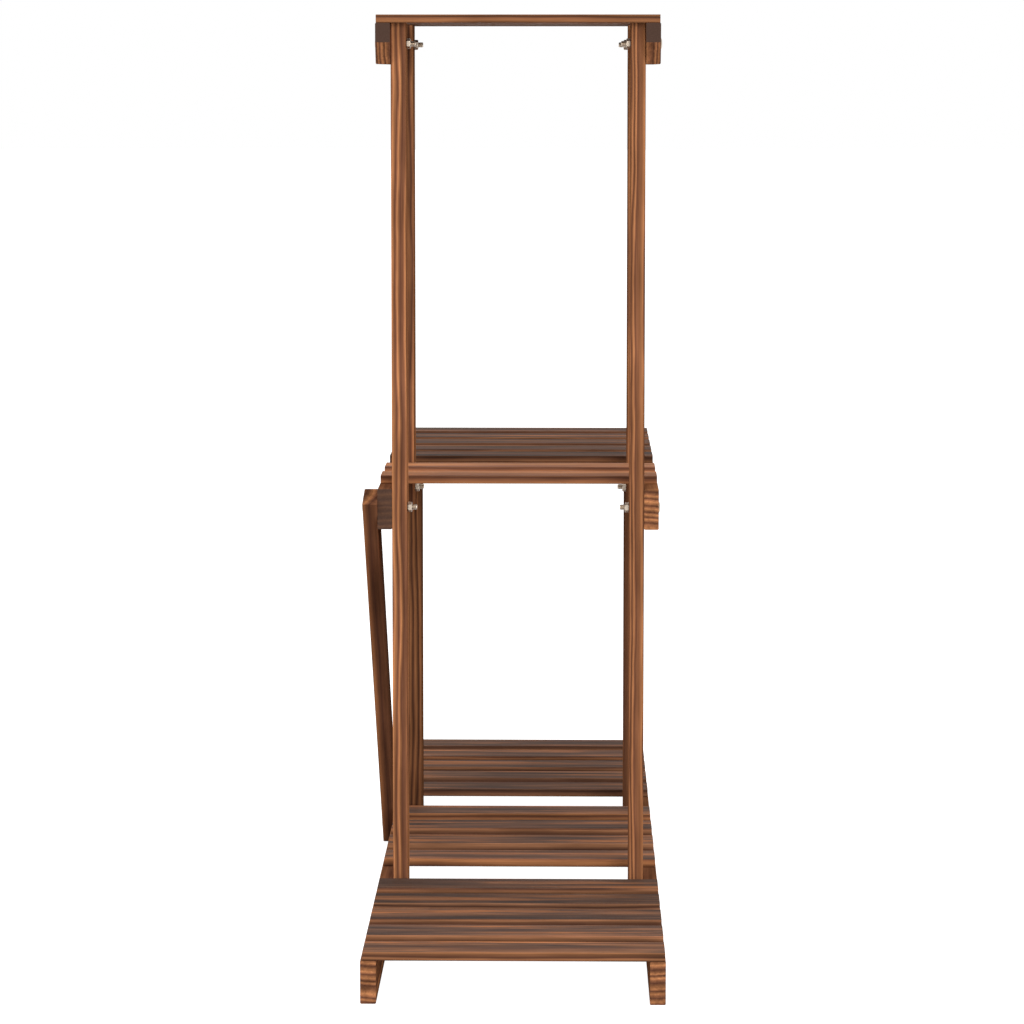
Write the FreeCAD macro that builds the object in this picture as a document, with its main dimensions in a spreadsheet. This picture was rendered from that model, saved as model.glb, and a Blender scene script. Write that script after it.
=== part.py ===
import FreeCAD, Part
import os

import Sketcher

# Slats in the group at each end of the bottom shelf
FULL_GROUP = 5

# Driving dimensions in millimetres, and one angle in degrees
SIZES = {
    "overall_width": 250,
    "bottom_length": 910,
    "mid_length": 467,
    "mid_rail_base": 354,
    "top_rail_base": 765.6,
    "top_overhang": 9.5,
    "top_far_overhang": 62,
    "rail_thickness": 13,
    "rail_height": 36,
    "rail_bevel_length": 9,
    "rail_bevel_height": 19,
    "post_thickness": 13,
    "post_width": 36,
    "post_bay": 77,
    "slat_width": 37.2,
    "slat_thickness": 7.2,
    "slat_gap": 19,
    "slat_least_gap": 14,
    "slat_end_inset": 0.6,
    "pair_clearance": 6,
    "upper_post_clearance": 14.5,
    "board_ease": 0.7,
    "brace_thickness": 13,
    "brace_width": 36,
    "brace_top_reach": 13.4,
    "brace_floor_gap": 0.5,
    "brace_mitre": 28,
    "bolt_diameter": 5,
    "bolt_clearance": 0.25,
    "bolt_proud": 4.5,
    "head_diameter": 10,
    "head_height": 1.6,
    "head_bevel": 1.1,
    "socket_across": 3,
    "socket_depth": 1.3,
    "nut_across": 8,
    "nut_thickness": 4,
    "thread_clearance": 0.05,
    "nail_side": 1.2,
    "nail_length": 20,
    "nail_set": 0.8,
}

doc = FreeCAD.newDocument("flower_stand")
sheet = doc.addObject("Spreadsheet::Sheet", "Sizes")
for row, (alias, size) in enumerate(SIZES.items(), start=1):
    sheet.set(f"A{row}", str(size))
    sheet.setAlias(f"A{row}", alias)
doc.recompute()

# Places along the length: each end of the bottom shelf is a full group of slats, then a post's bay
GROUP_RUN = f"({FULL_GROUP} * Sizes.slat_width + {FULL_GROUP - 1} * Sizes.slat_gap)"
NEAR_END = "(-Sizes.bottom_length / 2)"
FAR_END = "(Sizes.bottom_length / 2)"
TALL_POST_X = f"({NEAR_END} + {GROUP_RUN} + Sizes.post_bay / 2)"
UPPER_POST_X = "0"
SHORT_POST_X = f"({FAR_END} - {GROUP_RUN} - Sizes.post_bay / 2)"
MID_START = f"({TALL_POST_X} - Sizes.post_width / 2)"
MID_END = f"({MID_START} + Sizes.mid_length)"
TOP_START = f"({MID_START} - Sizes.top_overhang)"
TOP_END = f"({UPPER_POST_X} + Sizes.post_width / 2 + Sizes.top_far_overhang)"

# Places across the width: the brace on the back shifts the frame so that its box is centred
MIDDLE_Y = "(-Sizes.brace_thickness / 2)"
RAIL_OFFSET = "(Sizes.overall_width / 2 - Sizes.rail_thickness / 2)"
POST_OFFSET = "(Sizes.overall_width / 2 - Sizes.rail_thickness - Sizes.post_thickness / 2)"
NUT_OFFSET = "(Sizes.overall_width / 2 - Sizes.rail_thickness - Sizes.post_thickness)"
SLAT_LENGTH = "(Sizes.overall_width - 2 * Sizes.slat_end_inset)"
SIDES = {"front": "-", "back": "+"}

# Heights of the three shelves' rails above the floor
RAIL_BASE = {"bottom": "0", "mid": "Sizes.mid_rail_base", "top": "Sizes.top_rail_base"}
RAIL_START = {"bottom": NEAR_END, "mid": MID_START, "top": TOP_START}
RAIL_END = {"bottom": FAR_END, "mid": MID_END, "top": TOP_END}
POSTS_AT = {
    "bottom": [TALL_POST_X, SHORT_POST_X],
    "mid": [TALL_POST_X, UPPER_POST_X, SHORT_POST_X],
    "top": [TALL_POST_X, UPPER_POST_X],
}

# The brace runs from the tall post's mid-shelf bolt down to the short post's bottom-shelf bolt
BRACE_RUN = f"({SHORT_POST_X} - {TALL_POST_X})"
BRACE_DROP = "Sizes.mid_rail_base"
BRACE_ANGLE = f"atan2({BRACE_DROP}; {BRACE_RUN})"

parts = []


def place(item, x, y, z):
    """Binds an object's position to three expressions."""
    for axis, expression in zip("xyz", (x, y, z)):
        item.setExpression(f"Placement.Base.{axis}", expression)


def sketch_on(body, role, name, lift=None):
    """Adds a sketch on one of the body's own origin planes, lifted along the plane's normal."""
    plane = next(item for item in body.Origin.OriginFeatures if item.Role == role)
    sketch = body.newObject("Sketcher::SketchObject", name)
    sketch.AttachmentSupport = [(plane, "")]
    sketch.MapMode = "FlatFace"
    if lift:
        sketch.setExpression("AttachmentOffset.Base.z", lift)
    return sketch


def pin_point(sketch, curve, end, x, y):
    """Ties one point of a sketch to its origin by two expressions, or to an axis where one is zero."""
    for kind, axis, expression in (("DistanceX", -2, x), ("DistanceY", -1, y)):
        offset = float(sketch.evalExpression(expression))
        if abs(offset) < Part.Precision.confusion():
            sketch.addConstraint(Sketcher.Constraint("PointOnObject", curve, end, axis))
        else:
            number = sketch.addConstraint(Sketcher.Constraint(kind, -1, 1, curve, end, offset))
            sketch.setExpression(f"Constraints[{number}]", expression)


def draw_outline(sketch, corners):
    """Draws a closed outline of straight lines through corners given as expressions."""
    points = []
    for x, y in corners:
        points.append(FreeCAD.Vector(float(sketch.evalExpression(x)), float(sketch.evalExpression(y)), 0))
    for start, stop in zip(points, points[1:] + points[:1]):
        sketch.addGeometry(Part.LineSegment(start, stop))
    count = len(points)
    for line in range(count):
        sketch.addConstraint(Sketcher.Constraint("Coincident", line, 2, (line + 1) % count, 1))
    for line, (x, y) in enumerate(corners):
        pin_point(sketch, line, 1, x, y)


def draw_circles(sketch, centres, diameter):
    """Draws circles of one diameter at centres given as expressions."""
    for curve, (x, y) in enumerate(centres):
        centre = FreeCAD.Vector(float(sketch.evalExpression(x)), float(sketch.evalExpression(y)), 0)
        radius = float(sketch.evalExpression(diameter)) / 2
        sketch.addGeometry(Part.Circle(centre, FreeCAD.Vector(0, 0, 1), radius))
        pin_point(sketch, curve, 3, x, y)
        number = sketch.addConstraint(Sketcher.Constraint("Diameter", curve, 2 * radius))
        sketch.setExpression(f"Constraints[{number}]", diameter)


def ease_long_edges(body, board, direction):
    """Takes the sharpness off the edges that run along a board."""
    doc.recompute()
    names = []
    for number, edge in enumerate(board.Shape.Edges, start=1):
        if edge.tangentAt(edge.FirstParameter).isParallel(direction, Part.Precision.confusion()):
            names.append(f"Edge{number}")
    eased = body.newObject("PartDesign::Chamfer", "EasedEdges")
    eased.Base = (board, names)
    eased.setExpression("Size", "Sizes.board_ease")


def drill(body, centres, thickness):
    """Drills bolt holes right through an upright board."""
    before = body.Shape.Volume
    sketch = sketch_on(body, "XZ_Plane", "BoltHoles")
    draw_circles(sketch, centres, "Sizes.bolt_diameter + 2 * Sizes.bolt_clearance")
    pocket = body.newObject("PartDesign::Pocket", "Drilled")
    pocket.Profile = sketch
    pocket.SideType = "Symmetric"
    pocket.setExpression("Length", thickness)
    doc.recompute()
    if body.Shape.Volume >= before:
        raise RuntimeError(f"{body.Label}: the bolt holes cut nothing")


def upright_board(name, corners, thickness, holes, grain):
    """Makes a board whose broad faces stand upright, drilled for its bolts."""
    body = doc.addObject("PartDesign::Body", name)
    sketch = sketch_on(body, "XZ_Plane", "Outline")
    draw_outline(sketch, corners)
    board = body.newObject("PartDesign::Pad", "Board")
    board.Profile = sketch
    board.SideType = "Symmetric"
    board.setExpression("Length", thickness)
    ease_long_edges(body, board, grain)
    doc.recompute()
    drill(body, holes, thickness)
    return body


def keep(item, label):
    """Names a finished piece and lists it for export."""
    item.Label = label
    parts.append(item)


def nailed(body, nails, label):
    """Keeps a board with the seats that its nails take up in the wood."""
    board = doc.addObject("Part::Cut", f"{label}_nailed")
    board.Base = body
    board.Tool = nails
    keep(board, label)


def group(masters, label):
    """Keeps identical fasteners as one node of separate solids."""
    compound = doc.addObject("Part::Compound", label)
    compound.Links = masters
    keep(compound, label)
    return compound


# Slat positions: the lower-X edge of every slat on each shelf
def full_group(start):
    """Lower edges of a full group of slats that starts at one place."""
    return [f"({start} + {number} * (Sizes.slat_width + Sizes.slat_gap))" for number in range(FULL_GROUP)]


def slats_between(start, end):
    """Lower edges of as many slats as fit between two places with the least gap, spread evenly."""
    run = f"({end} - {start})"
    fitting = f"({run} + Sizes.slat_least_gap) / (Sizes.slat_width + Sizes.slat_least_gap)"
    count = int(sheet.evalExpression(f"floor({fitting})"))
    if count == 1:
        return [f"(({start} + {end} - Sizes.slat_width) / 2)"]
    step = f"(({run} - Sizes.slat_width) / {count - 1})"
    return [f"({start} + {number} * {step})" for number in range(count)]


PAIR_START = f"({TALL_POST_X} + Sizes.post_width / 2 + Sizes.pair_clearance)"
PAIR_END = f"({UPPER_POST_X} - Sizes.post_width / 2 - Sizes.pair_clearance)"
BEYOND_UPPER_POST = f"({UPPER_POST_X} + Sizes.post_width / 2 + Sizes.upper_post_clearance)"
TALL_BAY_END = f"({TALL_POST_X} + Sizes.post_bay / 2)"
SHORT_BAY_START = f"({SHORT_POST_X} - Sizes.post_bay / 2)"
SLATS_AT = {
    "bottom": full_group(NEAR_END)
    + slats_between(TALL_BAY_END, SHORT_BAY_START)
    + full_group(f"({FAR_END} - {GROUP_RUN})"),
    "mid": slats_between(PAIR_START, PAIR_END) + slats_between(BEYOND_UPPER_POST, MID_END),
    "top": slats_between(TOP_START, TOP_END),
}


# Nails: square brads, one where each slat crosses a rail, set below the surface and filled over
def shelf_nails(shelf):
    """Makes the nails of one shelf."""
    nails = []
    for slat_x in SLATS_AT[shelf]:
        for side in SIDES.values():
            nail = doc.addObject("Part::Box", f"{shelf}_nail")
            nail.setExpression("Length", "Sizes.nail_side")
            nail.setExpression("Width", "Sizes.nail_side")
            nail.setExpression("Height", "Sizes.nail_length")
            place(
                nail,
                f"{slat_x} + (Sizes.slat_width - Sizes.nail_side) / 2",
                f"{MIDDLE_Y} {side} {RAIL_OFFSET} - Sizes.nail_side / 2",
                f"{RAIL_BASE[shelf]} + Sizes.rail_height + Sizes.slat_thickness"
                " - Sizes.nail_set - Sizes.nail_length",
            )
            nails.append(nail)
    return group(nails, f"{shelf}_slat_nails")


NAILS = {shelf: shelf_nails(shelf) for shelf in RAIL_BASE}


# Rails: a pair on edge under each shelf, bevelled below where they overhang a post
def rail_outline(shelf):
    """Corners of a rail, seen from the front, from its lower near corner."""
    length = f"({RAIL_END[shelf]} - {RAIL_START[shelf]})"
    near = [("0", "0")]
    far = [(length, "0")]
    if shelf == "top":
        near = [("0", "Sizes.rail_bevel_height"), ("Sizes.rail_bevel_length", "0")]
    if shelf != "bottom":
        far = [(f"{length} - Sizes.rail_bevel_length", "0"), (length, "Sizes.rail_bevel_height")]
    return near + far + [(length, "Sizes.rail_height"), ("0", "Sizes.rail_height")]


for shelf, base in RAIL_BASE.items():
    rail_holes = [(f"{post_x} - {RAIL_START[shelf]}", "Sizes.rail_height / 2") for post_x in POSTS_AT[shelf]]
    for side, sign in SIDES.items():
        label = f"{shelf}_rail_{side}"
        rail = upright_board(
            f"{label}_board", rail_outline(shelf), "Sizes.rail_thickness", rail_holes, FreeCAD.Vector(1, 0, 0)
        )
        place(rail, RAIL_START[shelf], f"{MIDDLE_Y} {sign} {RAIL_OFFSET}", base)
        nailed(rail, NAILS[shelf], label)

# Posts: boards on end, bolted to the inner faces of the rails
POST_SPANS = {
    "tall_post": (TALL_POST_X, ["bottom", "mid", "top"]),
    "short_post": (SHORT_POST_X, ["bottom", "mid"]),
    "upper_post": (UPPER_POST_X, ["mid", "top"]),
}
for name, (post_x, shelves) in POST_SPANS.items():
    foot = RAIL_BASE[shelves[0]]
    height = f"{RAIL_BASE[shelves[-1]]} + Sizes.rail_height - {foot}"
    post_outline = [("0", "0"), ("Sizes.post_width", "0"), ("Sizes.post_width", height), ("0", height)]
    post_holes = []
    for shelf in shelves:
        post_holes.append(("Sizes.post_width / 2", f"{RAIL_BASE[shelf]} - {foot} + Sizes.rail_height / 2"))
    for side, sign in SIDES.items():
        label = f"{name}_{side}"
        post = upright_board(label, post_outline, "Sizes.post_thickness", post_holes, FreeCAD.Vector(0, 0, 1))
        place(post, f"{post_x} - Sizes.post_width / 2", f"{MIDDLE_Y} {sign} {POST_OFFSET}", foot)
        keep(post, label)

# Diagonal brace: one board across the back, both ends mitred by the same angle
BRACE_LENGTH = f"sqrt({BRACE_RUN} ^ 2 + {BRACE_DROP} ^ 2)"
MITRE_RISE = "(Sizes.brace_width / 2 * tan(Sizes.brace_mitre * 1 deg))"
FLOOR_REACH = (
    f"((Sizes.rail_height / 2 - Sizes.brace_width / 2 * cos({BRACE_ANGLE}) - Sizes.brace_floor_gap)"
    f" / sin({BRACE_ANGLE}))"
)
brace_outline = [
    (f"-Sizes.brace_top_reach - {MITRE_RISE}", "-Sizes.brace_width / 2"),
    (f"{BRACE_LENGTH} + {FLOOR_REACH}", "-Sizes.brace_width / 2"),
    (f"{BRACE_LENGTH} + {FLOOR_REACH} + 2 * {MITRE_RISE}", "Sizes.brace_width / 2"),
    (f"-Sizes.brace_top_reach + {MITRE_RISE}", "Sizes.brace_width / 2"),
]
brace = upright_board(
    "diagonal_brace",
    brace_outline,
    "Sizes.brace_thickness",
    [("0", "0"), (BRACE_LENGTH, "0")],
    FreeCAD.Vector(1, 0, 0),
)
brace.Placement.Rotation = FreeCAD.Rotation(FreeCAD.Vector(0, 1, 0), 0)
brace.setExpression("Placement.Rotation.Angle", BRACE_ANGLE)
place(
    brace,
    TALL_POST_X,
    f"{MIDDLE_Y} + Sizes.overall_width / 2 + Sizes.brace_thickness / 2",
    "Sizes.mid_rail_base + Sizes.rail_height / 2",
)
keep(brace, "diagonal_brace")

# Slats: thin boards across each pair of rails
for shelf, base in RAIL_BASE.items():
    for number, slat_x in enumerate(SLATS_AT[shelf], start=1):
        label = f"{shelf}_slat_{number:02d}"
        slat = doc.addObject("PartDesign::Body", f"{label}_board")
        slat_sketch = sketch_on(slat, "XY_Plane", "Outline")
        draw_outline(
            slat_sketch,
            [
                ("0", "0"),
                ("Sizes.slat_width", "0"),
                ("Sizes.slat_width", SLAT_LENGTH),
                ("0", SLAT_LENGTH),
            ],
        )
        board = slat.newObject("PartDesign::Pad", "Board")
        board.Profile = slat_sketch
        board.setExpression("Length", "Sizes.slat_thickness")
        ease_long_edges(slat, board, FreeCAD.Vector(0, 1, 0))
        place(slat, slat_x, f"{MIDDLE_Y} - {SLAT_LENGTH} / 2", f"{base} + Sizes.rail_height")
        nailed(slat, NAILS[shelf], label)


# Hexagons for the nut and for the bolt's socket
def hexagon(across):
    """Corners of a regular hexagon about the origin, from its distance across flats."""
    turns = [f"{number} * 60 deg" for number in range(6)]
    return [(f"{across} / sqrt(3) * cos({turn})", f"{across} / sqrt(3) * sin({turn})") for turn in turns]


# Bolts: low bevelled heads with a hexagon socket, on the outer faces of the stand
def make_bolt(name, grip):
    """Makes a bolt along Y, head at the lower end, for boards of a total thickness."""
    length = f"({grip} + Sizes.nut_thickness + Sizes.bolt_proud)"
    body = doc.addObject("PartDesign::Body", name)
    profile = sketch_on(body, "XY_Plane", "Profile")
    draw_outline(
        profile,
        [
            ("0", "-Sizes.head_height"),
            ("Sizes.head_diameter / 2 - Sizes.head_bevel", "-Sizes.head_height"),
            ("Sizes.head_diameter / 2", "0"),
            ("Sizes.bolt_diameter / 2", "0"),
            ("Sizes.bolt_diameter / 2", length),
            ("0", length),
        ],
    )
    turned = body.newObject("PartDesign::Revolution", "Turned")
    turned.Profile = profile
    turned.ReferenceAxis = (profile, ["V_Axis"])
    doc.recompute()
    before = body.Shape.Volume
    socket = sketch_on(body, "XZ_Plane", "Socket", "Sizes.head_height")
    draw_outline(socket, hexagon("Sizes.socket_across"))
    pocket = body.newObject("PartDesign::Pocket", "SocketCut")
    pocket.Profile = socket
    pocket.setExpression("Length", "Sizes.socket_depth")
    doc.recompute()
    if body.Shape.Volume >= before:
        raise RuntimeError(f"{name}: the socket cut nothing")
    return body


# Nuts: plain hexagon nuts against the inner faces of the posts
def make_nut():
    """Makes a nut along Y that starts at the origin."""
    body = doc.addObject("PartDesign::Body", "nut")
    flats = sketch_on(body, "XZ_Plane", "Flats")
    draw_outline(flats, hexagon("Sizes.nut_across"))
    block = body.newObject("PartDesign::Pad", "Block")
    block.Profile = flats
    block.Reversed = True
    block.setExpression("Length", "Sizes.nut_thickness")
    doc.recompute()
    before = body.Shape.Volume
    bore = sketch_on(body, "XZ_Plane", "Bore")
    draw_circles(bore, [("0", "0")], "Sizes.bolt_diameter + 2 * Sizes.thread_clearance")
    pocket = body.newObject("PartDesign::Pocket", "Bored")
    pocket.Profile = bore
    pocket.setExpression("Length", "Sizes.nut_thickness")
    doc.recompute()
    if body.Shape.Volume >= before:
        raise RuntimeError("nut: the bore cut nothing")
    return body


BOARDS = "Sizes.rail_thickness + Sizes.post_thickness"
rail_bolt = make_bolt("rail_bolt", BOARDS)
brace_bolt = make_bolt("brace_bolt", f"{BOARDS} + Sizes.brace_thickness")
nut = make_nut()


def fit(master, side, x, offset, z):
    """Places a copy of a fastener on one side of the stand, pointing inwards."""
    copy = doc.addObject("App::Link", master.Name)
    copy.LinkedObject = master
    turn = 0 if side == "front" else 180
    copy.Placement.Rotation = FreeCAD.Rotation(FreeCAD.Vector(0, 0, 1), turn)
    place(copy, x, f"{MIDDLE_Y} {SIDES[side]} {offset}", z)
    return copy


braced = [("mid", TALL_POST_X), ("bottom", SHORT_POST_X)]
brace_bolts = []
for shelf, base in RAIL_BASE.items():
    bolts = []
    nuts = []
    bolt_z = f"{base} + Sizes.rail_height / 2"
    for post_x in POSTS_AT[shelf]:
        for side in SIDES:
            if side == "back" and (shelf, post_x) in braced:
                outer_face = "(Sizes.overall_width / 2 + Sizes.brace_thickness)"
                brace_bolts.append(fit(brace_bolt, side, post_x, outer_face, bolt_z))
            else:
                bolts.append(fit(rail_bolt, side, post_x, "(Sizes.overall_width / 2)", bolt_z))
            nuts.append(fit(nut, side, post_x, NUT_OFFSET, bolt_z))
    group(bolts, f"{shelf}_bolts")
    group(nuts, f"{shelf}_nuts")
group(brace_bolts, "brace_bolts")

doc.recompute()
for item in doc.Objects:
    if "Invalid" in item.State or "Error" in item.State:
        raise RuntimeError(f"{item.Label} failed: {item.State}")
for item in parts:
    if item.Shape.isNull() or not item.Shape.isValid():
        raise RuntimeError(f"{item.Label} has no valid shape")

os.makedirs("parts", exist_ok=True)
for item in parts:
    item.Shape.exportStep(f"parts/{item.Label}.step")
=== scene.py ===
import math

import bmesh
import bpy
import numpy as np
from mathutils import Euler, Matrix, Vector


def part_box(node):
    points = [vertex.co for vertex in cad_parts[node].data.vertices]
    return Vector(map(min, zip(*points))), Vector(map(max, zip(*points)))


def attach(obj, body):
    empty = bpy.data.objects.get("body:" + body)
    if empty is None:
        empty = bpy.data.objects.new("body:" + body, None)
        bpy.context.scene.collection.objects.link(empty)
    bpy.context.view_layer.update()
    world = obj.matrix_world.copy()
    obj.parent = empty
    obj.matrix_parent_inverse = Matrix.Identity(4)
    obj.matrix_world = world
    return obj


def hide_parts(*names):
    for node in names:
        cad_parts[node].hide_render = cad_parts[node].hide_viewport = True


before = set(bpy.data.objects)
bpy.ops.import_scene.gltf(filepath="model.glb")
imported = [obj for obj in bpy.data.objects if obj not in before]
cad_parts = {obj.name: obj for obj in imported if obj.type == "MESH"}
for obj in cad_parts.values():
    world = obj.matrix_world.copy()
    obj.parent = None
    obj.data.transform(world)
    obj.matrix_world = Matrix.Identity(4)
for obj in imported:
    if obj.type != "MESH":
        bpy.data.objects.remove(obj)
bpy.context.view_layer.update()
bpy.context.scene.view_settings.view_transform = "Standard"


# Bottom rails: two long fir boards set on edge, sawn square and eased along their edges.
# The wood is scorched and brushed, so that the grain stands out in light and dark bands,
# and left nearly matt. The posts are bolted to their inner faces.
def seen(red, green, blue):
    """A colour as it looks on a screen, from 0 to 255, as the linear colour that a shader takes."""
    share = np.array([red, green, blue]) / 255
    linear = np.where(share <= 0.04045, share / 12.92, ((share + 0.055) / 1.055) ** 2.4)
    return (*linear.tolist(), 1.0)


def add(tree, kind, values=None, links=None, **settings):
    """A node with its settings, its plain input values and the sockets that feed it."""
    node = tree.nodes.new(kind)
    for name, value in settings.items():
        setattr(node, name, value)
    for socket, value in (values or {}).items():
        node.inputs[socket].default_value = value
    for socket, source in (links or {}).items():
        tree.links.new(source, node.inputs[socket])
    return node


def sums(tree, operation, first, second=0.0):
    """One step of arithmetic between two sockets, or a socket and a number."""
    node = add(tree, "ShaderNodeMath", operation=operation)
    for place, term in enumerate((first, second)):
        if isinstance(term, (int, float)):
            node.inputs[place].default_value = term
        else:
            tree.links.new(term, node.inputs[place])
    return node.outputs[0]


def product(tree, *terms):
    """Several sockets or numbers multiplied together, from the first to the last."""
    result = terms[0]
    for term in terms[1:]:
        result = sums(tree, "MULTIPLY", result, term)
    return result


def stretched(tree, source, factor, offset):
    """A socket's value times a factor, plus an offset."""
    return sums(tree, "ADD", product(tree, source, factor), offset)


def scaled(tree, colour, factor):
    """A colour's parts, each times the same value."""
    links = {0: colour, "Scale": factor}
    return add(tree, "ShaderNodeVectorMath", links=links, operation="SCALE").outputs[0]


def mixed(tree, share, first, second):
    """The first colour going over to the second as the share rises from 0 to 1."""
    node = add(tree, "ShaderNodeMix", links={0: share}, data_type="RGBA")
    for place, colour in ((6, first), (7, second)):
        if isinstance(colour, tuple):
            node.inputs[place].default_value = colour
        else:
            tree.links.new(colour, node.inputs[place])
    return node.outputs[2]


def ramp(tree, source, stops, interpolation="LINEAR"):
    """A run of colours along a value, each stop a position from 0 to 1 and the colour there."""
    node = add(tree, "ShaderNodeValToRGB", links={"Fac": source})
    node.color_ramp.interpolation = interpolation
    elements = node.color_ramp.elements
    for element, (position, colour) in zip(elements, (stops[0], stops[-1])):
        element.position, element.color = position, colour
    for position, colour in stops[1:-1]:
        elements.new(position).color = colour
    return node.outputs["Color"]


# One year's growth, from the dark line through the light early wood to the next dark line
RING_SHADES = (
    (0.0, seen(86, 54, 40)),
    (0.12, seen(107, 69, 48)),
    (0.36, seen(138, 91, 60)),
    (0.56, seen(165, 110, 72)),
    (0.72, seen(143, 93, 63)),
    (0.88, seen(113, 73, 51)),
    (1.0, seen(88, 56, 42)),
)
# Broad faces of the slats, from charred to bare wood
FACE_SHADES = (
    (0.39, seen(58, 47, 43)),
    (0.52, seen(97, 71, 58)),
    (0.63, seen(176, 111, 68)),
)
# Darker colours for end faces square to the grain, between these two
END_SHADES = (seen(66, 49, 42), seen(90, 69, 59))


def scorched_fir():
    """Growth rings are circles round the pith, bent by slow and quick noise along the board. The
    distance from the pith over the ring width counts the years, noise along that count makes
    years wide or narrow, and what is left over a whole year runs through the ring's colours.
    Noise along the count also makes some rings darker than others, fine noise drawn out along the
    grain gives the streaks and fibres, and wide noise the patches of scorching. Broad faces go
    over to a calm brown by the calm share, less where long noise is high, and take the painted
    face light: painted light and shade, a level set board by board that makes the broad faces
    lighter or darker than the edges. Faces square to the grain take the end shade."""
    tree = bpy.data.node_groups.new("scorched_fir", "ShaderNodeTree")
    sockets = (
        ("Board", "NodeSocketVector"),
        ("Pith", "NodeSocketVector"),
        ("Ring Width", "NodeSocketFloat"),
        ("Tone", "NodeSocketFloat"),
        ("Warmth", "NodeSocketFloat"),
        ("Seed", "NodeSocketFloat"),
        ("Facing", "NodeSocketVector"),
        ("End Shade", "NodeSocketFloat"),
        ("Waviness", "NodeSocketFloat"),
        ("Calm", "NodeSocketFloat"),
        ("Painted Face Light", "NodeSocketFloat"),
    )
    for name, kind in sockets:
        tree.interface.new_socket(name, in_out="INPUT", socket_type=kind)
    for name, kind in (("Color", "Color"), ("Roughness", "Float"), ("Height", "Float")):
        tree.interface.new_socket(name, in_out="OUTPUT", socket_type=f"NodeSocket{kind}")
    given = add(tree, "NodeGroupInput").outputs

    def arrows(operation, values=None, links=None):
        """One step of arithmetic between places or directions."""
        return add(tree, "ShaderNodeVectorMath", values, links, operation=operation).outputs

    def noise(along, across, detail, offset, crispness=0.5):
        """Noise over the board, with so many changes in a metre along it and across it."""
        place = arrows("MULTIPLY", {1: (along, across, across)}, {0: given["Board"]})[0]
        seed = sums(tree, "ADD", given["Seed"], offset)
        values = {"Scale": 1.0, "Detail": detail, "Roughness": crispness}
        links = {"Vector": place, "W": seed}
        return add(tree, "ShaderNodeTexNoise", values, links, noise_dimensions="4D").outputs["Fac"]

    def noise_by_count(count, detail):
        """Noise along the count of rings, the same all the way round a ring."""
        values = {"Scale": 1.0, "Detail": detail}
        node = add(tree, "ShaderNodeTexNoise", values, {"W": count}, noise_dimensions="1D")
        return node.outputs["Fac"]

    def mask(source, values):
        """A value's rise between two levels, as a share."""
        return add(tree, "ShaderNodeMapRange", values, {"Value": source}).outputs[0]

    # Rings, which wander by millimetres along the board
    slow_reach, quick_reach = 0.012, 0.0024
    years_apart, years_unlike = 0.5, 1.6
    away = arrows("SUBTRACT", links={0: given["Board"], 1: given["Pith"]})[0]
    across_grain = arrows("MULTIPLY", {1: (0.0, 1.0, 1.0)}, {0: away})[0]
    radius = arrows("LENGTH", links={0: across_grain})["Value"]
    slow = product(tree, sums(tree, "SUBTRACT", noise(5.0, 34.0, 2.0, 0.0), 0.5), slow_reach)
    quick = product(tree, sums(tree, "SUBTRACT", noise(22.0, 210.0, 2.0, 1.7), 0.5), quick_reach)
    wander = product(tree, sums(tree, "ADD", slow, quick), given["Waviness"])
    years = sums(tree, "DIVIDE", sums(tree, "ADD", radius, wander), given["Ring Width"])
    growth = noise_by_count(stretched(tree, years, years_apart, given["Seed"]), 1.0)
    rings = sums(tree, "ADD", years, product(tree, growth, years_unlike))
    ring = sums(tree, "FRACT", rings)
    shades = ramp(tree, ring, RING_SHADES, "EASE")

    # Fibres, streaks, patches and darker rings, which all change the level of the colour
    rings_apart = 0.55
    fibre = noise(24.0, 1500.0, 3.0, 3.1)
    streak = noise(6.0, 460.0, 2.0, 5.3)
    patch = noise(15.0, 90.0, 3.0, 7.7)
    uneven = noise_by_count(stretched(tree, rings, rings_apart, given["Seed"]), 2.0)
    fibre_level = stretched(tree, fibre, 0.8, 0.6)
    patch_level = stretched(tree, patch, 1.1, 0.45)
    ring_level = stretched(tree, uneven, 1.0, 0.5)
    streak_level = stretched(tree, streak, 1.0, 0.5)
    level = product(tree, fibre_level, patch_level, ring_level, streak_level, given["Tone"])
    duller = {"Saturation": 0.62, "Value": 0.84}
    grey = add(tree, "ShaderNodeHueSaturation", duller, {"Color": shades}).outputs[0]
    banded = scaled(tree, mixed(tree, given["Warmth"], grey, shades), level)

    # Broad faces: the calm brown, and their painted light level, which lightens or darkens them
    # against the edges
    facing = add(tree, "ShaderNodeSeparateXYZ", links={0: given["Facing"]}).outputs
    flat = sums(tree, "ABSOLUTE", facing[2])
    broad = mask(flat, {"From Min": 0.9, "From Max": 0.98})
    thinning = {"From Min": 0.46, "From Max": 0.58, "To Min": 1.0, "To Max": 0.6}
    thin = mask(noise(8.0, 50.0, 2.0, 9.2), thinning)
    calm = product(tree, broad, given["Calm"], thin)
    browns = ramp(tree, noise(3.5, 85.0, 5.0, 11.4, 0.66), FACE_SHADES)
    calm_brown = scaled(tree, browns, product(tree, streak_level, fibre_level, given["Tone"]))
    scorched = mixed(tree, calm, banded, calm_brown)
    # Painted light and shade: the broad faces are scaled by the face light level, lighter or darker
    # than the edges
    face_light_gain = sums(tree, "SUBTRACT", given["Painted Face Light"], 1.0)
    face_lit = scaled(tree, scorched, stretched(tree, broad, face_light_gain, 1.0))

    # Ends square to the grain
    square = sums(tree, "ABSOLUTE", facing[0])
    end = mask(square, {"From Min": 0.94, "From Max": 0.99})
    dark_end = mixed(tree, fibre, *END_SHADES)
    shaded = mixed(tree, product(tree, end, given["End Shade"]), face_lit, dark_end)

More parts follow.
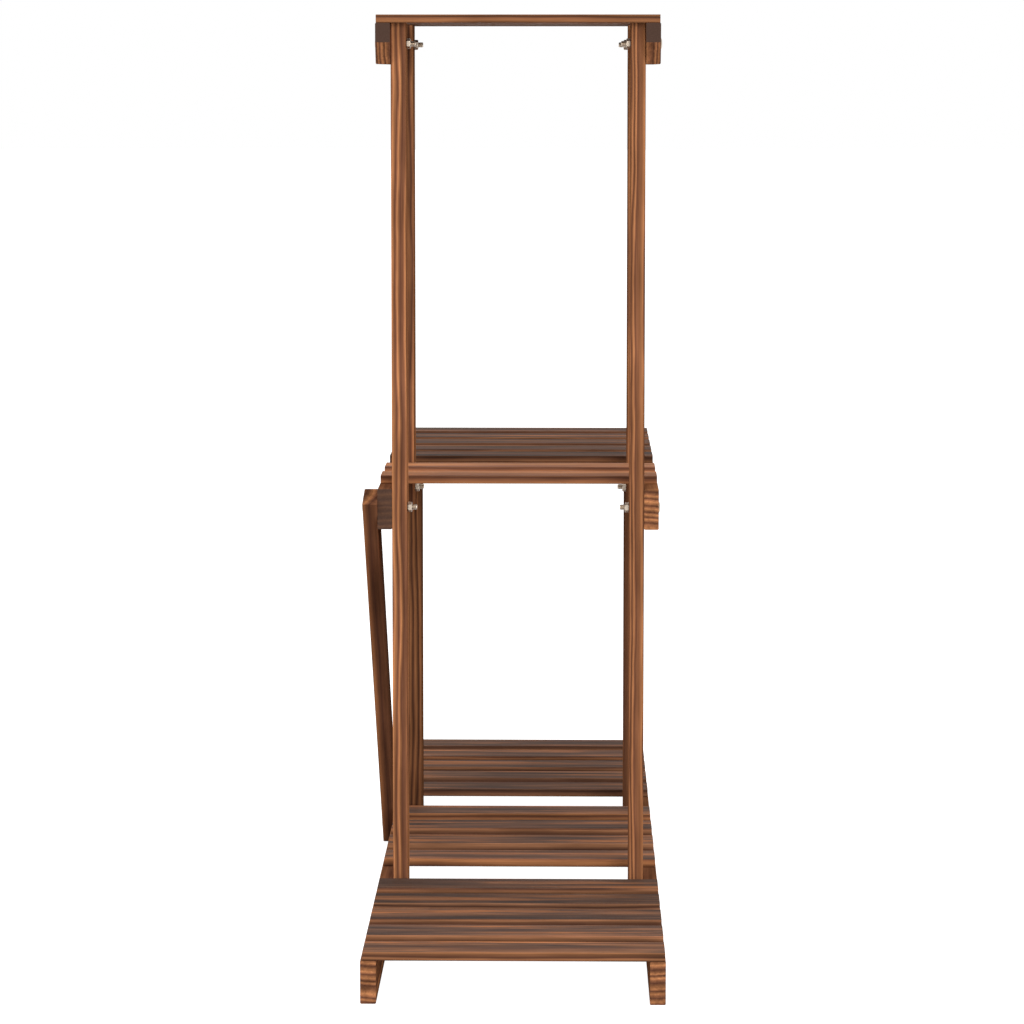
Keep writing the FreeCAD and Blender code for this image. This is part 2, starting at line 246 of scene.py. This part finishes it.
    fibre_height, fibre_rough, least_rough = 0.6, 0.25, 0.5
    crest = sums(tree, "PINGPONG", ring, 0.5)
    height = sums(tree, "ADD", product(tree, fibre, fibre_height), crest)
    rough = stretched(tree, fibre, fibre_rough, least_rough)
    outputs = {"Color": shaded, "Roughness": rough, "Height": height}
    add(tree, "NodeGroupOutput", links=outputs)
    return tree


FIR = scorched_fir()
RELIEF = {"Strength": 0.35, "Distance": 0.0004}


def dress_board(
    node,
    turn,
    pith,
    tone,
    seed,
    ring_width,
    waviness,
    warmth=1.0,
    end_shade=0.0,
    calm=0.0,
    gloss=0.0,
    # face: painted light and shade, the level of the broad faces against the edges
    face=1.0,
):
    """Gives a board its own stretch of grain: the turn lays the grain along it, from its middle."""
    low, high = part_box(node)
    centre = (low + high) / 2
    material = bpy.data.materials.new(f"fir_{node}")
    material.use_nodes = True
    tree = material.node_tree
    shader = tree.nodes["Principled BSDF"]
    shader.inputs["Specular IOR Level"].default_value = gloss
    coordinates = add(tree, "ShaderNodeTexCoord").outputs
    laid = {"Location": -(turn.to_matrix() @ centre), "Rotation": turn}
    place = add(tree, "ShaderNodeMapping", laid, {"Vector": coordinates["Object"]})
    facing = add(
        tree,
        "ShaderNodeMapping",
        {"Rotation": turn},
        {"Vector": coordinates["Normal"]},
        vector_type="VECTOR",
    )
    grain = add(tree, "ShaderNodeGroup", node_tree=FIR)
    values = {
        "Pith": pith,
        "Ring Width": ring_width,
        "Tone": tone,
        "Warmth": warmth,
        "Seed": seed,
        "End Shade": end_shade,
        "Waviness": waviness,
        "Calm": calm,
        "Painted Face Light": face,
    }
    for socket, value in values.items():
        grain.inputs[socket].default_value = value
    tree.links.new(place.outputs[0], grain.inputs["Board"])
    tree.links.new(facing.outputs[0], grain.inputs["Facing"])
    relief = add(tree, "ShaderNodeBump", RELIEF, {"Height": grain.outputs["Height"]})
    tree.links.new(grain.outputs["Color"], shader.inputs["Base Color"])
    tree.links.new(grain.outputs["Roughness"], shader.inputs["Roughness"])
    tree.links.new(relief.outputs[0], shader.inputs["Normal"])
    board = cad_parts[node]
    board.data.materials.clear()
    board.data.materials.append(material)


ALONG_LENGTH = Euler((0, 0, 0))
BOTTOM_RAIL_RING, RAIL_WAVE = 0.0062, 0.3
BOTTOM_RAIL_TONE = 1.13
for node, pith, seed in (
    ("bottom_rail_front", (0, 0.01, 0.2), 1.3),
    ("bottom_rail_back", (0, -0.01, 0.2), 8.2),
):
    dress_board(node, ALONG_LENGTH, pith, BOTTOM_RAIL_TONE, seed, BOTTOM_RAIL_RING, RAIL_WAVE)


# Bottom slats: fourteen thin fir boards laid across the rails in groups of five, four and five.
# They are cut from the same scorched wood, each from another stretch of it, and nailed down
# from above, with their back ends a little short of the rail's outer face.
SHARP_ANGLE = math.radians(35)


def piece_from_grids(name, grids, fits):
    """One piece of several turned surfaces: each grid's columns close into a ring, its rows join
    the rings, and each copy is set at its place, pointing along Y or turned half round to point
    back."""
    corners = []
    faces = []
    start = 0
    for grid, (x, y, z, toward) in zip(grids, fits):
        across, along, up = grid
        rows, columns = along.shape
        points = np.stack([x + toward * across, y + toward * along, z + up], axis=-1)
        numbers = np.arange(rows * columns).reshape(rows, columns) + start
        onward = np.roll(numbers, -1, axis=1)
        quads = np.stack([numbers[:-1], onward[:-1], onward[1:], numbers[1:]], axis=-1)
        corners.append(points.reshape(-1, 3))
        faces.append(quads.reshape(-1, 4))
        start += rows * columns
    mesh = bpy.data.meshes.new(name)
    mesh.from_pydata(np.concatenate(corners).tolist(), [], np.concatenate(faces).tolist())
    shell = bmesh.new()
    shell.from_mesh(mesh)
    bmesh.ops.remove_doubles(shell, verts=shell.verts, dist=1e-7)
    bmesh.ops.dissolve_degenerate(shell, edges=shell.edges, dist=1e-7)
    bmesh.ops.recalc_face_normals(shell, faces=shell.faces)
    shell.to_mesh(mesh)
    shell.free()
    mesh.shade_smooth()
    mesh.set_sharp_from_angle(angle=SHARP_ANGLE)
    piece = bpy.data.objects.new(name, mesh)
    bpy.context.scene.collection.objects.link(piece)
    return piece


SLAT_EASE = 0.0007
BACK_TRIM = 0.0012


def slat_surface(half):
    """An oblong with its long edges cut by the ease: eight corners round the section, drawn from
    the front end to the back end, which stops short by the trim, and a point in the middle of
    each end to close it."""
    wide, long, thick = half
    less_wide, less_thick = wide - SLAT_EASE, thick - SLAT_EASE
    across = np.array([less_wide, wide, wide, less_wide, -less_wide, -wide, -wide, -less_wide])
    up = np.array([-thick, -less_thick, less_thick, thick, thick, less_thick, -less_thick, -thick])
    open_rows = np.array([0, 1, 1, 0])[:, None]
    stop = long - BACK_TRIM
    along = np.array([-long, -long, stop, stop])[:, None] * np.ones(len(across))
    return open_rows * across, along, open_rows * up


def slat_pith(number, sway, stride, depth, step, cycle):
    """The middle of a slat's tree: below the slat by the depth and some steps, in a cycle from slat
    to slat, and to one side by a sine of the slat's number."""
    return (0, sway * math.sin(number * stride), -depth - step * (number % cycle))


ACROSS_WIDTH = Euler((0, 0, -math.pi / 2))
SLAT_RING, SLAT_WAVE, SLAT_CALM, SLAT_GLOSS = 0.006, 0.5, 0.95, 0.04
BOTTOM_TONES = (0.84, 1.0, 0.92, 0.78, 0.82, 1.06, 0.88, 0.9, 1.04, 0.72, 0.68, 0.7, 0.84, 0.68)
# Painted light and shade: each slat's broad faces made lighter or darker than its edges
BOTTOM_FACE_LIGHTS = (
    1.26, 1.06, 0.92, 0.73, 0.86, 1.26, 1.13, 1.18, 1.26, 1.05, 1.03, 1.05, 1.08, 1.03
)
BOTTOM_WARMTHS = (
    0.95, 0.85, 0.85, 0.75, 0.85, 1.0, 0.8, 0.85, 1.0, 0.8, 0.75, 0.8, 0.95, 0.8
)
bottom_looks = zip(BOTTOM_TONES, BOTTOM_WARMTHS, BOTTOM_FACE_LIGHTS)
for number, (tone, warmth, face) in enumerate(bottom_looks, start=1):
    slat = f"bottom_slat_{number:02d}"
    dress_board(
        slat,
        ACROSS_WIDTH,
        slat_pith(number, sway=0.03, stride=2.4, depth=0.05, step=0.01, cycle=4),
        tone,
        20 + 3.7 * number,
        SLAT_RING,
        SLAT_WAVE,
        warmth,
        calm=SLAT_CALM,
        gloss=SLAT_GLOSS,
        face=face,
    )
    slat_low, slat_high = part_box(slat)
    middle = (slat_low + slat_high) / 2
    surface = slat_surface((slat_high - slat_low) / 2)
    slat_piece = piece_from_grids(f"{slat}_trimmed", [surface], [(*middle, 1)])
    slat_piece.data.materials.append(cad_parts[slat].data.materials[0])
    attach(slat_piece, "root")
    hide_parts(slat)


# Tall posts: two boards on end inside the rails, from the floor to the top shelf.
# Their thin edges face the ends of the stand, and show the rings as upright bands.
# One bolt at each shelf holds them.
UPRIGHT = Euler((0, math.pi / 2, 0))
POST_RING, POST_WAVE = 0.0054, 0.9
for node, pith, tone, seed in (
    ("tall_post_front", (0, 0.075, 0.015), 1.14, 61.4),
    ("tall_post_back", (0, -0.08, -0.012), 1.42, 67.9),
):
    dress_board(node, UPRIGHT, pith, tone, seed, POST_RING, POST_WAVE)


# Short posts: two boards on end inside the rails, from the floor to the mid shelf.
# They are of the same wood and section as the tall posts, and bolted in the same way.
for node, pith, tone, seed in (
    ("short_post_front", (0, 0.07, -0.02), 0.76, 72.3),
    ("short_post_back", (0, -0.085, 0.02), 0.74, 78.8),
):
    dress_board(node, UPRIGHT, pith, tone, seed, POST_RING, POST_WAVE)


# Mid rails: two fir boards on edge, outside the posts, with a bevel below at the far end.
# Each is bolted to the tall, upper and short posts on its side. The back one's end faces are
# darkened.
MID_RAIL_RING = 0.0058
for node, pith, tone, seed, end_shade in (
    ("mid_rail_front", (0, 0.012, -0.2), 1.18, 83.1, 0.0),
    ("mid_rail_back", (0, -0.012, -0.2), 1.0, 88.6, 0.85),
):
    dress_board(
        node, ALONG_LENGTH, pith, tone, seed, MID_RAIL_RING, RAIL_WAVE, end_shade=end_shade
    )


# Mid slats: two boards between the tall and the upper posts, then five beyond the upper posts.
# The pair is cut from warmer wood with wider rings. All are nailed to the mid rails from above.
PAIR_RING, PAIR_CALM = 0.016, 0.4
MID_TONES = (1.06, 1.6, 0.56, 0.54, 0.6, 0.56, 0.6)
MID_WARMTHS = (1.0, 1.0, 0.9, 0.8, 0.9, 0.85, 0.9)
# Painted light and shade: each slat's broad faces made lighter or darker than its edges
MID_FACE_LIGHTS = (1.38, 0.98, 1.08, 1.08, 1.08, 1.08, 1.08)
mid_looks = zip(MID_TONES, MID_WARMTHS, MID_FACE_LIGHTS)
for number, (tone, warmth, face) in enumerate(mid_looks, start=1):
    in_pair = number <= 2
    dress_board(
        f"mid_slat_{number:02d}",
        ACROSS_WIDTH,
        slat_pith(number, sway=0.026, stride=1.9, depth=0.055, step=0.008, cycle=3),
        tone,
        95 + 4.3 * number,
        PAIR_RING if in_pair else SLAT_RING,
        SLAT_WAVE,
        warmth,
        calm=PAIR_CALM if in_pair else SLAT_CALM,
        gloss=SLAT_GLOSS,
        face=face,
    )


# Upper posts: two boards on end from the mid shelf to the top shelf, inside the rails.
# They carry the far side of the top shelf, and are bolted as the others are.
for node, pith, tone, seed in (
    ("upper_post_front", (0, 0.08, 0.018), 0.95, 131.7),
    ("upper_post_back", (0, -0.075, -0.02), 0.95, 137.2),
):
    dress_board(node, UPRIGHT, pith, tone, seed, POST_RING, POST_WAVE)


# Top rails: two short fir boards on edge, with their lower corners bevelled at both ends.
# They overhang the tall posts a little, and are bolted to the tall and the upper posts.
# Their square end faces are darkened.
TOP_RAIL_RING, TOP_RAIL_WAVE, TOP_RAIL_TONE = 0.0042, 0.35, 1.02
for node, pith, seed in (
    ("top_rail_front", (0, 0.2, 0.0), 143.5),
    ("top_rail_back", (0, -0.2, 0.0), 149.9),
):
    dress_board(
        node,
        ALONG_LENGTH,
        pith,
        TOP_RAIL_TONE,
        seed,
        TOP_RAIL_RING,
        TOP_RAIL_WAVE,
        end_shade=1.0,
    )


# Top slats: five boards nailed across the top rails, the highest shelf of the stand.
# They are of the same section and wood as the slats below.
# Painted light and shade: the top slats' broad faces made lighter than their edges
TOP_FACE_LIGHT = 1.2
TOP_TONES = (0.64, 0.66, 0.72, 0.64, 0.7)
TOP_WARMTHS = (1.0, 0.85, 0.9, 0.8, 0.9)
for number, (tone, warmth) in enumerate(zip(TOP_TONES, TOP_WARMTHS), start=1):
    dress_board(
        f"top_slat_{number:02d}",
        ACROSS_WIDTH,
        slat_pith(number, sway=0.028, stride=2.1, depth=0.06, step=0.007, cycle=3),
        tone,
        160 + 5.1 * number,
        SLAT_RING,
        SLAT_WAVE,
        warmth,
        calm=SLAT_CALM,
        gloss=SLAT_GLOSS,
        face=TOP_FACE_LIGHT,
    )


# Diagonal brace: one fir board across the back, outside the rails, with mitred ends.
# It runs from the tall post at the mid shelf down to the short post at the bottom shelf,
# under the heads of the two long bolts there.
BRACE_RING, BRACE_WAVE, BRACE_TONE = 0.012, 0.5, 0.88
brace_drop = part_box("mid_rail_back")[0].z
post_low, post_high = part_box("tall_post_back")
far_low, far_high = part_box("short_post_back")
brace_run = (far_low.x + far_high.x - post_low.x - post_high.x) / 2
down_brace = Euler((0, -math.atan2(brace_drop, brace_run), 0))
dress_board(
    "diagonal_brace", down_brace, (0, 0.09, 0.02), BRACE_TONE, 201.3, BRACE_RING, BRACE_WAVE
)


# Bolts: plated steel bolts with low domed heads and hexagon sockets, on the outer faces.
# Each passes through a rail and a post, and its thread stands proud of the nut inside.
# The two that hold the brace are longer by its thickness.
BOLT_RADIUS = 0.0025
HEAD_RADIUS = 0.005
HEAD_HEIGHT = 0.0016
HEAD_RIM = 0.0003
SOCKET_ACROSS = 0.003
SOCKET_DEPTH = 0.0013
SOCKET_MOUTH = SOCKET_ACROSS * 0.62
NUT_THICKNESS = 0.004
BOLT_PROUD = 0.0045
THREAD_PITCH = 0.0008
THREAD_DEPTH = 0.00035
THREAD_STEP = THREAD_PITCH / 8
TIP_TAPER = 0.0006


def hexagon_radius(angle, across):
    """Distance from the middle of a hexagon to its edge: half its width over the cosine of the
    angle from the nearest flat's middle."""
    return across / 2 / np.cos((angle + math.pi / 6) % (math.pi / 3) - math.pi / 6)


def bolt_surface(grip):
    """A profile turned about the bolt's axis. Where the socket is, the radius is a hexagon's
    instead of a circle's, and along the thread it falls by a wave that climbs one pitch in a
    turn."""
    turns = np.linspace(0, 2 * math.pi, 48, endpoint=False)
    length = grip + NUT_THICKNESS + BOLT_PROUD
    tip = length - TIP_TAPER
    socket_floor = SOCKET_DEPTH - HEAD_HEIGHT
    socket_place = [socket_floor, socket_floor, -HEAD_HEIGHT]
    dome = np.linspace(0, math.pi / 2, 9)
    dome_radius = SOCKET_MOUTH + (HEAD_RADIUS - SOCKET_MOUTH) * np.sin(dome)
    dome_place = -HEAD_RIM - (HEAD_HEIGHT - HEAD_RIM) * np.cos(dome)
    shank_radius = [HEAD_RADIUS, BOLT_RADIUS, BOLT_RADIUS]
    shank_place = [0, 0, grip]
    thread_place = np.arange(grip, tip, THREAD_STEP)
    thread_radius = np.full(len(thread_place), BOLT_RADIUS)
    tip_radius = [BOLT_RADIUS - THREAD_DEPTH, BOLT_RADIUS - TIP_TAPER, 0]
    tip_place = [tip, length, length]
    place = np.concatenate([socket_place, dome_place, shank_place, thread_place, tip_place])
    radius = np.concatenate([[0, 0, 0], dome_radius, shank_radius, thread_radius, tip_radius])
    threaded = np.zeros(len(place))
    threaded[-len(thread_place) - len(tip_place):-len(tip_place)] = 1
    socket = np.zeros(len(place))
    socket[1:3] = 1
    grid_turn, grid_place = np.meshgrid(turns, place)
    climb = grid_place / THREAD_PITCH - grid_turn / (2 * math.pi)
    wave = 0.5 - 0.5 * np.cos(2 * math.pi * climb)
    grid_radius = radius[:, None] - THREAD_DEPTH * threaded[:, None] * wave
    grid_radius = grid_radius + socket[:, None] * hexagon_radius(grid_turn, SOCKET_ACROSS)
    return grid_radius * np.cos(grid_turn), grid_place, grid_radius * np.sin(grid_turn)


def plated_steel():
    """Zinc plating, grey with a darker, warm cast that is a painted reflection of the brown wood
    round it: fine noise sets both its colour and its gloss.
    """
    material = bpy.data.materials.new("plated_steel")
    material.use_nodes = True
    tree = material.node_tree
    shader = tree.nodes["Principled BSDF"]
    shader.inputs["Metallic"].default_value = 1.0
    place = add(tree, "ShaderNodeTexCoord").outputs["Object"]
    fine = {"Scale": 1400.0, "Detail": 3.0}
    speckle = add(tree, "ShaderNodeTexNoise", fine, {"Vector": place}).outputs["Fac"]
    # Painted reflection: the plating's colours are darkened and warmed towards the brown of the
    # wood
    colours = ramp(tree, speckle, ((0.0, seen(160, 144, 127)), (1.0, seen(206, 193, 177))))
    roughness = stretched(tree, speckle, 0.2, 0.2)
    tree.links.new(colours, shader.inputs["Base Color"])
    tree.links.new(roughness, shader.inputs["Roughness"])
    return material


STEEL = plated_steel()
SHELF_POSTS = {
    "bottom": ("tall_post", "short_post"),
    "mid": ("tall_post", "upper_post", "short_post"),
    "top": ("tall_post", "upper_post"),
}
BRACED = (("mid", "tall_post"), ("bottom", "short_post"))


def crossings(shelf):
    """Each crossing of a shelf's rails and posts: its side and post, which way is inward, the
    post's middle, the rail's outer face, the post's inner face and the height of the bolt."""
    for side, toward in (("front", 1), ("back", -1)):
        rail_low, rail_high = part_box(f"{shelf}_rail_{side}")
        outer = rail_low.y if side == "front" else rail_high.y
        level = (rail_low.z + rail_high.z) / 2
        for post in SHELF_POSTS[shelf]:
            post_low, post_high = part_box(f"{post}_{side}")
            inner = post_high.y if side == "front" else post_low.y
            yield side, post, toward, (post_low.x + post_high.x) / 2, outer, inner, level


brace_low, brace_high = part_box("diagonal_brace")
brace_thickness = brace_high.y - brace_low.y
long_bolts = []
for shelf in SHELF_POSTS:
    bolts = []
    for side, post, toward, middle, outer, inner, level in crossings(shelf):
        grip = abs(inner - outer)
        if side == "back" and (shelf, post) in BRACED:
            long_bolts.append((middle, outer + brace_thickness, level, toward))
        else:
            bolts.append((middle, outer, level, toward))
    surfaces = [bolt_surface(grip)] * len(bolts)
    bolt_piece = piece_from_grids(f"{shelf}_shelf_bolts", surfaces, bolts)
    bolt_piece.data.materials.append(STEEL)
    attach(bolt_piece, "root")
    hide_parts(f"{shelf}_bolts")
surfaces = [bolt_surface(grip + brace_thickness)] * len(long_bolts)
long_piece = piece_from_grids("long_brace_bolts", surfaces, long_bolts)
long_piece.data.materials.append(STEEL)
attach(long_piece, "root")
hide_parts("brace_bolts")


# Nuts: plated hexagon nuts, one on each bolt, drawn up against the inner faces of the posts.
# Their corners are bevelled at both ends, and a countersink leads into the thread.
NUT_ACROSS = 0.008
NUT_BORE = BOLT_RADIUS + 0.00005
NUT_SINK = 0.0004
BEVEL_START = NUT_ACROSS * 0.48
BEVEL_SLOPE = 1.7


def nut_surface():
    """A ring whose outer radius is the lesser of a hexagon's and of a cone's that opens from each
    end at a steep slope, joined at both ends to a countersunk bore."""
    turns = np.linspace(0, 2 * math.pi, 72, endpoint=False)
    levels = np.linspace(0, NUT_THICKNESS, 13)
    far_sink = NUT_THICKNESS - NUT_SINK
    place = np.concatenate([[NUT_SINK, 0], levels, [NUT_THICKNESS, far_sink, NUT_SINK]])
    grid_turn, grid_place = np.meshgrid(turns, place)
    nearer_end = np.minimum(grid_place, NUT_THICKNESS - grid_place)
    cone = BEVEL_START + BEVEL_SLOPE * nearer_end
    grid_radius = np.minimum(hexagon_radius(grid_turn, NUT_ACROSS), cone)
    grid_radius[[0, -2, -1]] = NUT_BORE
    grid_radius[[1, -3]] = NUT_BORE + NUT_SINK
    return grid_radius * np.cos(grid_turn), grid_place, grid_radius * np.sin(grid_turn)


for shelf in SHELF_POSTS:
    nuts = []
    for side, post, toward, middle, outer, inner, level in crossings(shelf):
        nuts.append((middle, inner, level, toward))
    nut_piece = piece_from_grids(f"{shelf}_shelf_nuts", [nut_surface()] * len(nuts), nuts)
    nut_piece.data.materials.append(STEEL)
    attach(nut_piece, "root")
    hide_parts(f"{shelf}_nuts")


# Nails: square steel brads through each slat into the rail below it.
# They are set under the surface and filled over, so that none shows.
nail_steel = bpy.data.materials.new("nail_steel")
nail_steel.use_nodes = True
nail_tree = nail_steel.node_tree
nail_shader = nail_tree.nodes["Principled BSDF"]
nail_shader.inputs["Metallic"].default_value = 1.0
nail_shader.inputs["Roughness"].default_value = 0.45
nail_place = add(nail_tree, "ShaderNodeTexCoord").outputs["Object"]
nail_marks = add(nail_tree, "ShaderNodeTexNoise", {"Scale": 900.0}, {"Vector": nail_place})
nail_shades = ((0.0, seen(110, 108, 106)), (1.0, seen(150, 148, 146)))
nail_colours = ramp(nail_tree, nail_marks.outputs["Fac"], nail_shades)
nail_tree.links.new(nail_colours, nail_shader.inputs["Base Color"])
for shelf in SHELF_POSTS:
    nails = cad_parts[f"{shelf}_slat_nails"]
    nails.data.materials.clear()
    nails.data.materials.append(nail_steel)


# Floor: a plain white studio floor that runs out of sight behind the stand.
# The camera and glossy finishes see it as nearly plain white, as in the photograph,
# so that hardly any shadow shows, and the wood gets only a little light back from it.
REACH = 30
FLOOR_GREY = 0.5
FLOOR_GLOW = 0.96
WHITE = (1, 1, 1, 1)
floor_mesh = bpy.data.meshes.new("studio_floor")
floor_corners = [(-REACH, -REACH, 0), (REACH, -REACH, 0), (REACH, REACH, 0), (-REACH, REACH, 0)]
floor_mesh.from_pydata(floor_corners, [], [(0, 1, 2, 3)])
floor = bpy.data.objects.new("studio_floor", floor_mesh)
bpy.context.scene.collection.objects.link(floor)
floor_white = bpy.data.materials.new("studio_white")
floor_white.use_nodes = True
floor_tree = floor_white.node_tree
floor_shader = floor_tree.nodes["Principled BSDF"]
floor_shader.inputs["Base Color"].default_value = (FLOOR_GREY, FLOOR_GREY, FLOOR_GREY, 1)
floor_shader.inputs["Roughness"].default_value = 0.9
floor_shader.inputs["Emission Color"].default_value = WHITE
floor_rays = add(floor_tree, "ShaderNodeLightPath").outputs
floor_seen = sums(floor_tree, "MAXIMUM", floor_rays["Is Camera Ray"], floor_rays["Is Glossy Ray"])
floor_glow = product(floor_tree, floor_seen, FLOOR_GLOW)
floor_tree.links.new(floor_glow, floor_shader.inputs["Emission Strength"])
floor_mesh.materials.append(floor_white)


# Light: a wide soft lamp far out in front, a weaker one at the other side, one above the stand,
# and a white room. The camera, metal and glossy finishes see the room as plain white, and the
# wood is lit by it at half that strength.
ROOM_LIGHT = 0.5
world = bpy.data.worlds.new("white_room")
bpy.context.scene.world = world
world.use_nodes = True
room = world.node_tree
room_rays = add(room, "ShaderNodeLightPath").outputs
room_seen = sums(room, "MAXIMUM", room_rays["Is Camera Ray"], room_rays["Is Transmission Ray"])
room_seen = sums(room, "MAXIMUM", room_seen, room_rays["Is Glossy Ray"])
room_level = stretched(room, room_seen, 1 - ROOM_LIGHT, ROOM_LIGHT)
background = room.nodes["Background"]
background.inputs["Color"].default_value = WHITE
room.links.new(room_level, background.inputs["Strength"])


def lamp(name, place, target, size, power):
    """A square soft lamp that points at a target."""
    light = bpy.data.lights.new(name, "AREA")
    light.size = size
    light.energy = power
    holder = bpy.data.objects.new(name, light)
    holder.location = place
    holder.rotation_euler = (Vector(target) - Vector(place)).to_track_quat("-Z", "Y").to_euler()
    bpy.context.scene.collection.objects.link(holder)


lamp("front_lamp", place=(-6.8, -2.4, 2.5), target=(0, 0, 0.3), size=3.6, power=220)
lamp("side_lamp", place=(-2.0, 2.4, 2.0), target=(0, 0, 0.35), size=1.6, power=30)
lamp("top_lamp", place=(-0.4, 0, 3.2), target=(0, 0, 0.3), size=3.0, power=60)


# Camera: in front of the near end, just under the top shelf's height, turned slightly down.
# The photograph's uprights are parallel, so part of the framing is shift instead of tilt, but
# only as much as leaves the whole stand in the picture from other sides.
CAMERA_YAW = math.radians(0.95)
CAMERA_PITCH = math.radians(5.577)
camera_data = bpy.data.cameras.new("end_view")
camera_data.sensor_width = 36
camera_data.lens = 122.4
camera_data.shift_y = -0.1
camera_data.clip_end = 200
camera = bpy.data.objects.new("end_view", camera_data)
camera.location = (-3.2406, -0.052, 0.7608)
sight = Vector(
    (
        math.cos(CAMERA_PITCH) * math.cos(CAMERA_YAW),
        math.cos(CAMERA_PITCH) * math.sin(CAMERA_YAW),
        -math.sin(CAMERA_PITCH),
    )
)
camera.rotation_euler = sight.to_track_quat("-Z", "Y").to_euler()
bpy.context.scene.collection.objects.link(camera)
bpy.context.scene.camera = camera
